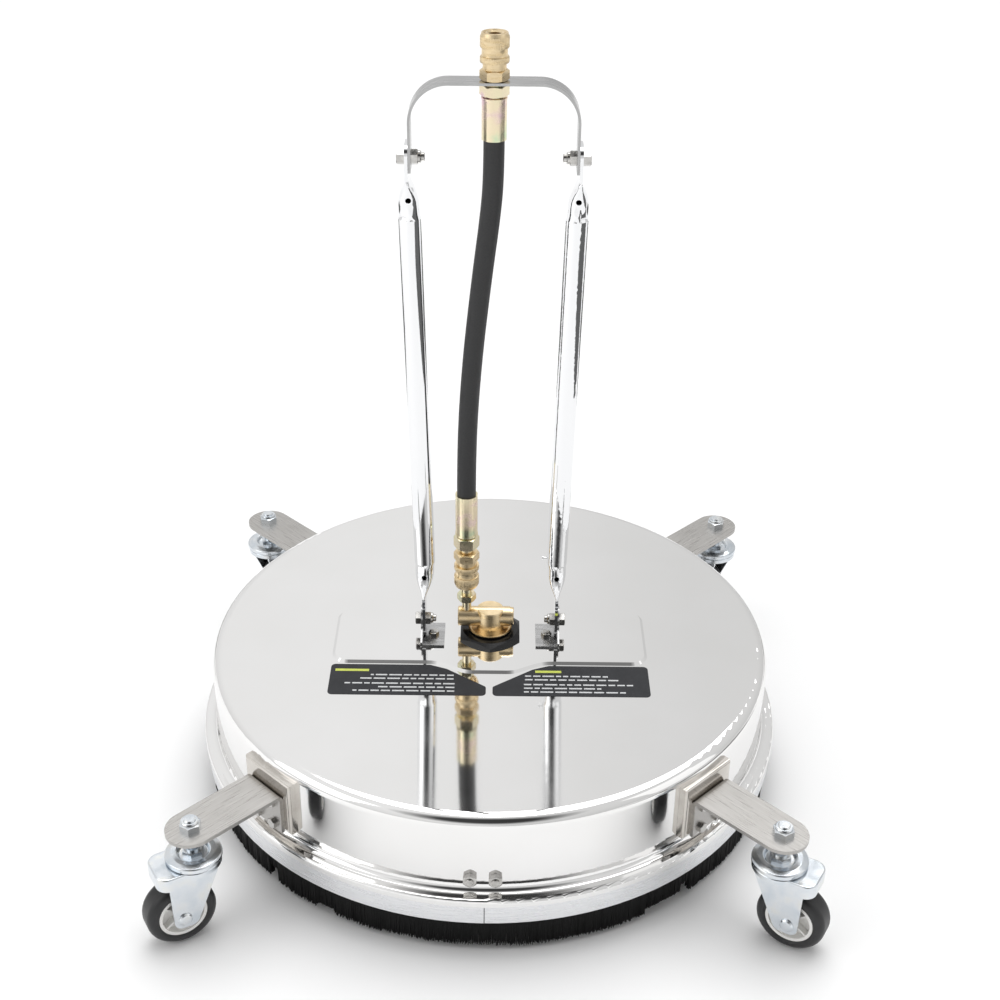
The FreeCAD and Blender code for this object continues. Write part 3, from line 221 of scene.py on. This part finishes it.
def tint(tree, value, stops):
    """A colour ramp through (position, colour) stops."""
    ramp = tree.nodes.new("ShaderNodeValToRGB")
    elements = ramp.color_ramp.elements
    elements[0].position, elements[0].color = stops[0][0], (*stops[0][1], 1)
    elements[1].position, elements[1].color = stops[-1][0], (*stops[-1][1], 1)
    for position, colour in stops[1:-1]:
        elements.new(position).color = (*colour, 1)
    tree.links.new(value, ramp.inputs["Fac"])
    return ramp.outputs["Color"]


def bump(tree, shader, value, strength, distance):
    node = tree.nodes.new("ShaderNodeBump")
    node.inputs["Strength"].default_value = strength
    node.inputs["Distance"].default_value = distance
    tree.links.new(value, node.inputs["Height"])
    tree.links.new(node.outputs["Normal"], shader.inputs["Normal"])


def object_place(tree):
    return tree.nodes.new("ShaderNodeTexCoord").outputs["Object"]


def worn(name, colour, metallic, low, high, scale, stretch=(1, 1, 1), colours=None,
         relief=0.0, depth=0.0002, specular=0.5):
    """A material whose roughness, and colour if colours are given, follow one noise."""
    mat, tree, shader = node_material(name, colour, metallic, (low + high) / 2)
    shader.inputs["Specular IOR Level"].default_value = specular
    value = noise(tree, mapped(tree, object_place(tree), Scale=stretch), scale, 4.0)
    tree.links.new(remapped(tree, value, NOISE_SPAN, (low, high)), shader.inputs["Roughness"])
    if colours:
        tree.links.new(tint(tree, value, colours), shader.inputs["Base Color"])
    if relief:
        bump(tree, shader, value, relief, depth)
    return mat


def brushed(name, colours, low, high):
    """Brushed sheet with its grain along one direction in plan, mirrored in every quarter."""
    mat, tree, shader = node_material(name, colours[0][1], 1.0, (low + high) / 2)
    quarter = tree.nodes.new("ShaderNodeVectorMath")
    quarter.operation = "ABSOLUTE"
    tree.links.new(object_place(tree), quarter.inputs[0])
    turned = mapped(tree, quarter.outputs["Vector"], Rotation=(0, 0, math.radians(-GRAIN_TURN)))
    value = noise(tree, mapped(tree, turned, Scale=GRAIN_STRETCH), GRAIN_SCALE, 5.0)
    tree.links.new(remapped(tree, value, NOISE_SPAN, (low, high)), shader.inputs["Roughness"])
    tree.links.new(tint(tree, value, colours), shader.inputs["Base Color"])
    bump(tree, shader, value, GRAIN_RELIEF, GRAIN_DEPTH)
    return mat


# ---- materials, one per slot ----

def make_materials():
    return {
        "mirror_steel": worn("mirror_steel", (0.87, 0.865, 0.855), 1.0, 0.035, 0.085, 9.0,
                             colours=((0.3, (0.855, 0.85, 0.84)), (0.7, (0.88, 0.875, 0.87))),
                             relief=0.03, depth=0.001),
        "satin_strip": worn("satin_strip", (0.86, 0.87, 0.885), 1.0, 0.22, 0.36, 40.0,
                            stretch=(1, 1, 14),
                            colours=((0.3, (0.78, 0.79, 0.81)), (0.7, (0.86, 0.865, 0.88))),
                            relief=0.15),
        "bristle": worn("bristle", (0.012, 0.012, 0.012), 0.0, 0.38, 0.65, 420.0,
                        stretch=(1, 1, 0.05),
                        colours=((0.3, (0.002, 0.002, 0.002)), (0.7, (0.010, 0.010, 0.010))),
                        specular=0.12),
        "plain_steel": worn("plain_steel", (0.30, 0.30, 0.30), 1.0, 0.25, 0.45, 60.0,
                            colours=((0.3, (0.26, 0.26, 0.26)), (0.7, (0.34, 0.34, 0.34)))),
        "label_film": worn("label_film", (0.03, 0.031, 0.034), 0.0, 0.34, 0.46, 90.0,
                           colours=((0.3, (0.026, 0.027, 0.030)), (0.7, (0.034, 0.035, 0.039))),
                           relief=0.06, depth=0.0001, specular=0.15),
        "pressed_stainless": worn("pressed_stainless", (0.60, 0.57, 0.53), 1.0, 0.10, 0.22, 30.0,
                                  colours=((0.3, (0.52, 0.49, 0.45)), (0.7, (0.68, 0.65, 0.61))),
                                  relief=0.08),
        "brushed_stainless": brushed("brushed_stainless", ((0.3, (0.37, 0.358, 0.342)),
                                                           (0.7, (0.47, 0.458, 0.442))),
                                     0.24, 0.38),
        "bolt_steel": worn("bolt_steel", (0.50, 0.49, 0.47), 1.0, 0.10, 0.22, 150.0,
                           colours=((0.3, (0.40, 0.39, 0.375)), (0.7, (0.60, 0.59, 0.57)))),
        "zinc": worn("zinc", (0.68, 0.72, 0.76), 1.0, 0.14, 0.27, 55.0,
                     colours=((0.3, (0.62, 0.67, 0.72)), (0.55, (0.72, 0.75, 0.78)),
                              (0.75, (0.78, 0.775, 0.74))),
                     relief=0.05),
        "bearing_steel": worn("bearing_steel", (0.70, 0.70, 0.70), 1.0, 0.08, 0.15, 80.0),
        "housing_alloy": worn("housing_alloy", (0.66, 0.66, 0.67), 1.0, 0.25, 0.38, 90.0,
                              stretch=(1, 1, 8), relief=0.1),
        "brass": worn("brass", (0.76, 0.60, 0.37), 1.0, 0.24, 0.38, 70.0, stretch=(1, 1, 6),
                      colours=((0.3, (0.70, 0.54, 0.31)), (0.7, (0.82, 0.67, 0.44))),
                      relief=0.05),
        "black_nut": worn("black_nut", (0.005, 0.005, 0.006), 0.0, 0.14, 0.26, 60.0,
                          colours=((0.3, (0.004, 0.004, 0.005)), (0.7, (0.007, 0.007, 0.008))),
                          specular=0.3),
        "seal_rubber": worn("seal_rubber", (0.02, 0.02, 0.02), 0.0, 0.5, 0.7, 120.0),
        "spring_steel": worn("spring_steel", (0.5, 0.5, 0.52), 1.0, 0.2, 0.35, 120.0),
        "yellow_zinc": worn("yellow_zinc", (0.80, 0.72, 0.50), 1.0, 0.16, 0.30, 48.0,
                            colours=((0.28, (0.62, 0.70, 0.48)), (0.42, (0.80, 0.72, 0.50)),
                                     (0.58, (0.84, 0.72, 0.52)), (0.72, (0.80, 0.60, 0.62)))),
        "hose_cover": worn("hose_cover", (0.018, 0.018, 0.019), 0.0, 0.42, 0.58, 600.0,
                           colours=((0.3, (0.014, 0.014, 0.015)), (0.7, (0.026, 0.026, 0.027))),
                           relief=0.35, depth=0.0003),
        "tube_chrome": worn("tube_chrome", (0.86, 0.865, 0.875), 1.0, 0.03, 0.07, 20.0),
        "strap_steel": worn("strap_steel", (0.44, 0.44, 0.44), 1.0, 0.18, 0.30, 40.0,
                            stretch=(1, 6, 1),
                            colours=((0.3, (0.40, 0.40, 0.40)), (0.7, (0.48, 0.48, 0.48)))),
        "hub_plastic": worn("hub_plastic", (0.88, 0.87, 0.84), 0.0, 0.28, 0.42, 50.0,
                            colours=((0.3, (0.86, 0.85, 0.82)), (0.7, (0.90, 0.89, 0.87)))),
        "tyre_rubber": worn("tyre_rubber", (0.026, 0.026, 0.027), 0.0, 0.30, 0.45, 90.0,
                            colours=((0.3, (0.022, 0.022, 0.023)), (0.7, (0.031, 0.031, 0.032))),
                            relief=0.05, specular=0.35),
    }


MATERIALS = make_materials()


def dress_nodes():
    """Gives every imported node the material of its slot."""
    for part in RECORD["subparts"]:
        node = NODES[part["node"]]
        for place in node.material_slots:
            place.material = MATERIALS[part["material_slot"]]


# ---- mesh helpers ----

def mesh_object(name, points, faces, material, smooth=False):
    data = bpy.data.meshes.new(name)
    data.from_pydata(points, [], faces)
    data.update()
    for polygon in data.polygons:
        polygon.use_smooth = smooth
    data.materials.append(material)
    piece = bpy.data.objects.new(name, data)
    bpy.context.scene.collection.objects.link(piece)
    return piece


def sharpen(piece, degrees=35):
    """Keeps edges sharper than this angle crisp on a smooth mesh, and turns its faces outward."""
    work = bmesh.new()
    work.from_mesh(piece.data)
    limit = math.radians(degrees)
    for edge in work.edges:
        if len(edge.link_faces) == 2 and edge.calc_face_angle() > limit:
            edge.smooth = False
    bmesh.ops.recalc_face_normals(work, faces=work.faces)
    work.to_mesh(piece.data)
    work.free()


def box_sides(start):
    """The four side faces of a box whose eight points begin at this index."""
    sides = []
    for corner in range(4):
        other = (corner + 1) % 4
        sides.append((start + corner, start + other, start + 4 + other, start + 4 + corner))
    return sides


# ---- hose ----

def hose_line():
    """Points along the hose's smooth line, read from its NURBS spline."""
    curve = bpy.data.curves.new("hose_line", "CURVE")
    curve.dimensions = "3D"
    spline = curve.splines.new("NURBS")
    spline.points.add(len(HOSE_ROUTE) - 1)
    for point, place in zip(spline.points, HOSE_ROUTE):
        point.co = (*place, 1)
    spline.order_u = HOSE_SPLINE_ORDER
    spline.use_endpoint_u = True
    curve.resolution_u = HOSE_SPLINE_STEPS
    holder = bpy.data.objects.new("hose_line", curve)
    bpy.context.scene.collection.objects.link(holder)
    bpy.context.view_layer.update()
    line = bpy.data.meshes.new_from_object(holder)
    points = [vertex.co.copy() for vertex in line.vertices]
    bpy.data.objects.remove(holder)
    bpy.data.meshes.remove(line)
    return points


def make_hose():
    """The hose as a closed tube round its line, bending between the deck and the handle."""
    line = hose_line()
    points = []
    faces = []
    across = Vector((0, 1, 0))
    for index, place in enumerate(line):
        along = line[min(index + 1, len(line) - 1)] - line[max(index - 1, 0)]
        along.normalize()
        side = along.cross(across)
        for step in range(HOSE_SIDES):
            angle = 2 * math.pi * step / HOSE_SIDES
            points.append(place + HOSE_RADIUS * (math.cos(angle) * side + math.sin(angle) * across))
    for ring in range(len(line) - 1):
        for step in range(HOSE_SIDES):
            nearby = (step + 1) % HOSE_SIDES
            low = ring * HOSE_SIDES
            high = low + HOSE_SIDES
            faces.append((low + step, high + step, high + nearby, low + nearby))
    faces.append(tuple(range(HOSE_SIDES)))
    top = (len(line) - 1) * HOSE_SIDES
    faces.append(tuple(top + step for step in reversed(range(HOSE_SIDES))))
    hose = mesh_object("pressure_hose", points, faces, MATERIALS["hose_cover"], smooth=True)
    sharpen(hose)
    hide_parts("hose")
    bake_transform(hose)


# ---- bristles ----

def tip_height(angle, draw):
    """How low the bristles reach at this angle, with a ragged edge."""
    degrees = math.degrees(angle)
    for first, last, tip in SHORT_PLACES:
        if first <= degrees <= last:
            return tip + draw.uniform(*SHORT_SCATTER)
    wander = sum(height * math.sin(waves * angle + phase) for height, waves, phase in TIP_WAVES)
    return BRISTLE_TIP + TIP_RISE + wander + draw.uniform(*TIP_SCATTER)


def make_bristles():
    """Three staggered rows of flat bristle bundles, hanging from the channel."""
    draw = random.Random(BRISTLE_SEED)
    points = []
    faces = []
    rows = (BRISTLE_OUTER, (BRISTLE_OUTER + BRISTLE_INNER) / 2, BRISTLE_INNER)
    step = 2 * math.pi / BRISTLE_COUNT
    for row, middle in enumerate(rows):
        for index in range(BRISTLE_COUNT):
            angle = BRUSH_SPLIT + (index + row / 3) * step
            if angle > math.pi:
                angle -= 2 * math.pi
            tip = tip_height(angle, draw)
            lean = draw.uniform(-BUNDLE_LEAN, BUNDLE_LEAN) * step
            radius = middle + draw.uniform(*BUNDLE_SHIFT)
            flare = draw.uniform(*BUNDLE_FLARE)
            start = len(points)
            for height, shift, outward, half_width in (
                    (BRISTLE_ROOT + BRISTLE_GRIPPED, 0, 0, BUNDLE_ROOT * step),
                    (tip, lean, flare, BUNDLE_TIP * step)):
                for side, depth in ((-1, 1), (1, 1), (1, -1), (-1, -1)):
                    turn = angle + shift + side * half_width
                    reach = radius + outward + depth * BUNDLE_HALF_DEPTH
                    points.append((reach * math.cos(turn), reach * math.sin(turn), height))
            faces += [(start, start + 3, start + 2, start + 1),
                      (start + 4, start + 5, start + 6, start + 7)]
            faces += box_sides(start)
    brush = mesh_object("bristle_filaments", points, faces, MATERIALS["bristle"])
    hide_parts("brush_bristles")
    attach(brush, "chassis")


# ---- knurled coupler collars ----

def make_sleeve(name, node, body, place):
    """A sliding collar with two bands of straight knurling."""
    points = []
    faces = []
    slices = KNURLS * SLICES_PER_KNURL
    count = len(SLEEVE_OUTLINE)
    for step in range(slices):
        angle = 2 * math.pi * step / slices
        groove = KNURL_DEPTH if step % SLICES_PER_KNURL in GROOVE_SLICES else 0.0
        for radius, height, knurled in SLEEVE_OUTLINE:
            reach = radius - groove * knurled
            here = Vector((reach * math.cos(angle), reach * math.sin(angle), height))
            points.append(place @ here)
    for step in range(slices):
        here = step * count
        there = ((step + 1) % slices) * count
        for index in range(count):
            following = (index + 1) % count
            faces.append((here + index, there + index, there + following, here + following))
    sleeve = mesh_object(name, points, faces, MATERIALS["brass"], smooth=True)
    sharpen(sleeve, 28)
    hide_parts(node)
    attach(sleeve, body)


def make_sleeves():
    """The upper collar's mouth is at its top, and the lower one is the other way up."""
    millimetre = Matrix.Scale(0.001, 4)
    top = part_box("coupler_sleeve_upper")[1][2]
    make_sleeve("sleeve_top", "coupler_sleeve_upper", "sleeve_upper",
                Matrix.Translation((0, 0, top - SLEEVE_MOUTH)) @ millimetre)
    low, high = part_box("coupler_sleeve_lower")
    middle = (low[0] + high[0]) / 2
    turned_over = Matrix.Rotation(math.pi, 4, "X")
    make_sleeve("sleeve_bottom", "coupler_sleeve_lower", "sleeve_lower",
                Matrix.Translation((middle, 0, low[2] + SLEEVE_MOUTH)) @ turned_over @ millimetre)


# ---- stickers: blank bars where a sticker has its lines ----

def bar(points, faces, x0, x1, y0, y1, low):
    """A thin raised plate lying on a sticker."""
    start = len(points)
    for height in (low, low + BAR_THICK):
        points += [(x0, y0, height), (x1, y0, height), (x1, y1, height), (x0, y1, height)]
    faces += [(start + 3, start + 2, start + 1, start),
              (start + 4, start + 5, start + 6, start + 7)]
    faces += box_sides(start)


def make_label_bars():
    """Plain bars on the stickers: a title bar and five broken lines on each."""
    low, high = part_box("deck_labels")
    height = high[2] - BAR_SUNK
    front = low[1]
    depth = high[1] - low[1]
    span = high[0] - LABEL_MARGIN - LABEL_INNER
    title_y = front + depth * TITLE_PLACE
    draw = random.Random(LABEL_SEED)
    lines = []
    line_faces = []
    titles = []
    title_faces = []
    for side, (middle, half) in ((-1, TITLE_LEFT), (1, TITLE_RIGHT)):
        bar(titles, title_faces, middle - half, middle + half, title_y - TITLE_HALF,
            title_y + TITLE_HALF, height)
        for drop, first, last in LABEL_LINES:
            y = front + depth * (LABEL_TOP - drop)
            start = LABEL_INNER + span * first
            stop = LABEL_INNER + span * last
            while start < stop:
                word = min(draw.uniform(*WORD_LENGTHS), stop - start)
                left, right = start, start + word
                if side < 0:
                    left, right = -right, -left
                bar(lines, line_faces, left, right, y - LINE_HALF, y + LINE_HALF, height)
                start += word + WORD_GAP
    white = worn("label_ink_pale", (0.62, 0.63, 0.64), 0.0, 0.4, 0.5, 200.0,
                 colours=((0.3, (0.55, 0.56, 0.57)), (0.7, (0.66, 0.67, 0.68))))
    lime = worn("label_ink_lime", (0.55, 0.62, 0.08), 0.0, 0.4, 0.5, 200.0,
                colours=((0.3, (0.50, 0.57, 0.07)), (0.7, (0.60, 0.66, 0.10))))
    pale = mesh_object("label_line_bars", lines, line_faces, white)
    bright = mesh_object("label_title_bars", titles, title_faces, lime)
    for piece in (pale, bright):
        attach(piece, "chassis")


# ---- studio ----

def make_lights():
    """One wide soft light above and a little behind the object, and one weak one on each side."""
    data = bpy.data.lights.new("overhead_soft", "SUN")
    data.energy = OVERHEAD_STRENGTH
    data.angle = OVERHEAD_WIDTH
    overhead = bpy.data.objects.new("overhead_soft", data)
    overhead.rotation_euler = OVERHEAD_AIM.to_track_quat("-Z", "Y").to_euler()
    bpy.context.scene.collection.objects.link(overhead)
    for name, place, size, watts in SIDE_LIGHTS:
        data = bpy.data.lights.new(name, "AREA")
        data.shape = "RECTANGLE"
        data.size, data.size_y = size
        data.energy = watts
        light = bpy.data.objects.new(name, data)
        light.location = place
        aim = Vector(SIDE_TARGET) - Vector(place)
        light.rotation_euler = aim.to_track_quat("-Z", "Y").to_euler()
        bpy.context.scene.collection.objects.link(light)


def make_world():
    """A pale room that dims a little to the right, with a dark patch high on its front side.

    Polished metal reflects the room. The camera sees an even backdrop in its place.
    """
    world = bpy.data.worlds.new("room")
    bpy.context.scene.world = world
    world.use_nodes = True
    tree = world.node_tree
    direction = tree.nodes.new("ShaderNodeTexCoord").outputs["Generated"]
    split = tree.nodes.new("ShaderNodeSeparateXYZ")
    tree.links.new(direction, split.inputs["Vector"])
    height = remapped(tree, split.outputs["Z"], ROOM_HEIGHTS, ROOM_HEIGHT_LEVELS)
    dimming = remapped(tree, split.outputs["X"], ROOM_SIDES, ROOM_SIDE_LEVELS)
    nearness = tree.nodes.new("ShaderNodeVectorMath")
    nearness.operation = "DOT_PRODUCT"
    nearness.inputs[1].default_value = DARK_PATCH
    tree.links.new(direction, nearness.inputs[0])
    patch = remapped(tree, nearness.outputs["Value"], PATCH_EDGE, (1.0, PATCH_LEVEL))
    level = product(tree, product(tree, height, dimming), patch)
    seen = tree.nodes.new("ShaderNodeLightPath")
    shown = tree.nodes.new("ShaderNodeMix")
    shown.data_type = "FLOAT"
    shown.inputs["B"].default_value = BACKDROP_LEVEL
    tree.links.new(seen.outputs["Is Camera Ray"], shown.inputs["Factor"])
    tree.links.new(level, shown.inputs["A"])
    background = tree.nodes["Background"]
    background.inputs["Strength"].default_value = 1.0
    tree.links.new(shown.outputs["Result"], background.inputs["Color"])


def flat_sheet(name, corners, level, material):
    """A flat piece of the studio, which isn't part of the object."""
    sheet = mesh_object(name, [(x, y, level) for x, y in corners], [(0, 1, 2, 3)], material)
    return sheet


def make_floor():
    corners = [(x * FLOOR_HALF, y * FLOOR_HALF) for x, y in ((-1, -1), (1, -1), (1, 1), (-1, 1))]
    flat_sheet("floor", corners, FLOOR_LEVEL,
               worn("floor_paper", (0.93, 0.93, 0.93), 0.0, 0.75, 0.9, 3.0))
    dark = worn("card_black", (0.08, 0.08, 0.08), 0.0, 0.8, 0.9, 3.0)
    for index, corners in enumerate(CARDS):
        card = flat_sheet("dark_card_%d" % index, corners, CARD_LEVEL, dark)
        card.visible_camera = False
        card.visible_diffuse = False
        card.visible_shadow = False


def make_camera():
    data = bpy.data.cameras.new("camera")
    data.lens = CAMERA_LENS
    data.sensor_width = CAMERA_SENSOR
    camera = bpy.data.objects.new("camera", data)
    turn = (Matrix.Rotation(CAMERA_YAW, 4, "Z") @ Matrix.Rotation(CAMERA_TILT, 4, "X")
            @ Matrix.Rotation(CAMERA_ROLL, 4, "Z"))
    camera.matrix_world = Matrix.Translation(CAMERA_PLACE) @ turn
    bpy.context.scene.collection.objects.link(camera)
    bpy.context.scene.camera = camera


bpy.context.scene.view_settings.view_transform = "Standard"
make_camera()
make_hose()
dress_nodes()
make_bristles()
make_sleeves()
make_label_bars()
make_world()
make_floor()
make_lights()
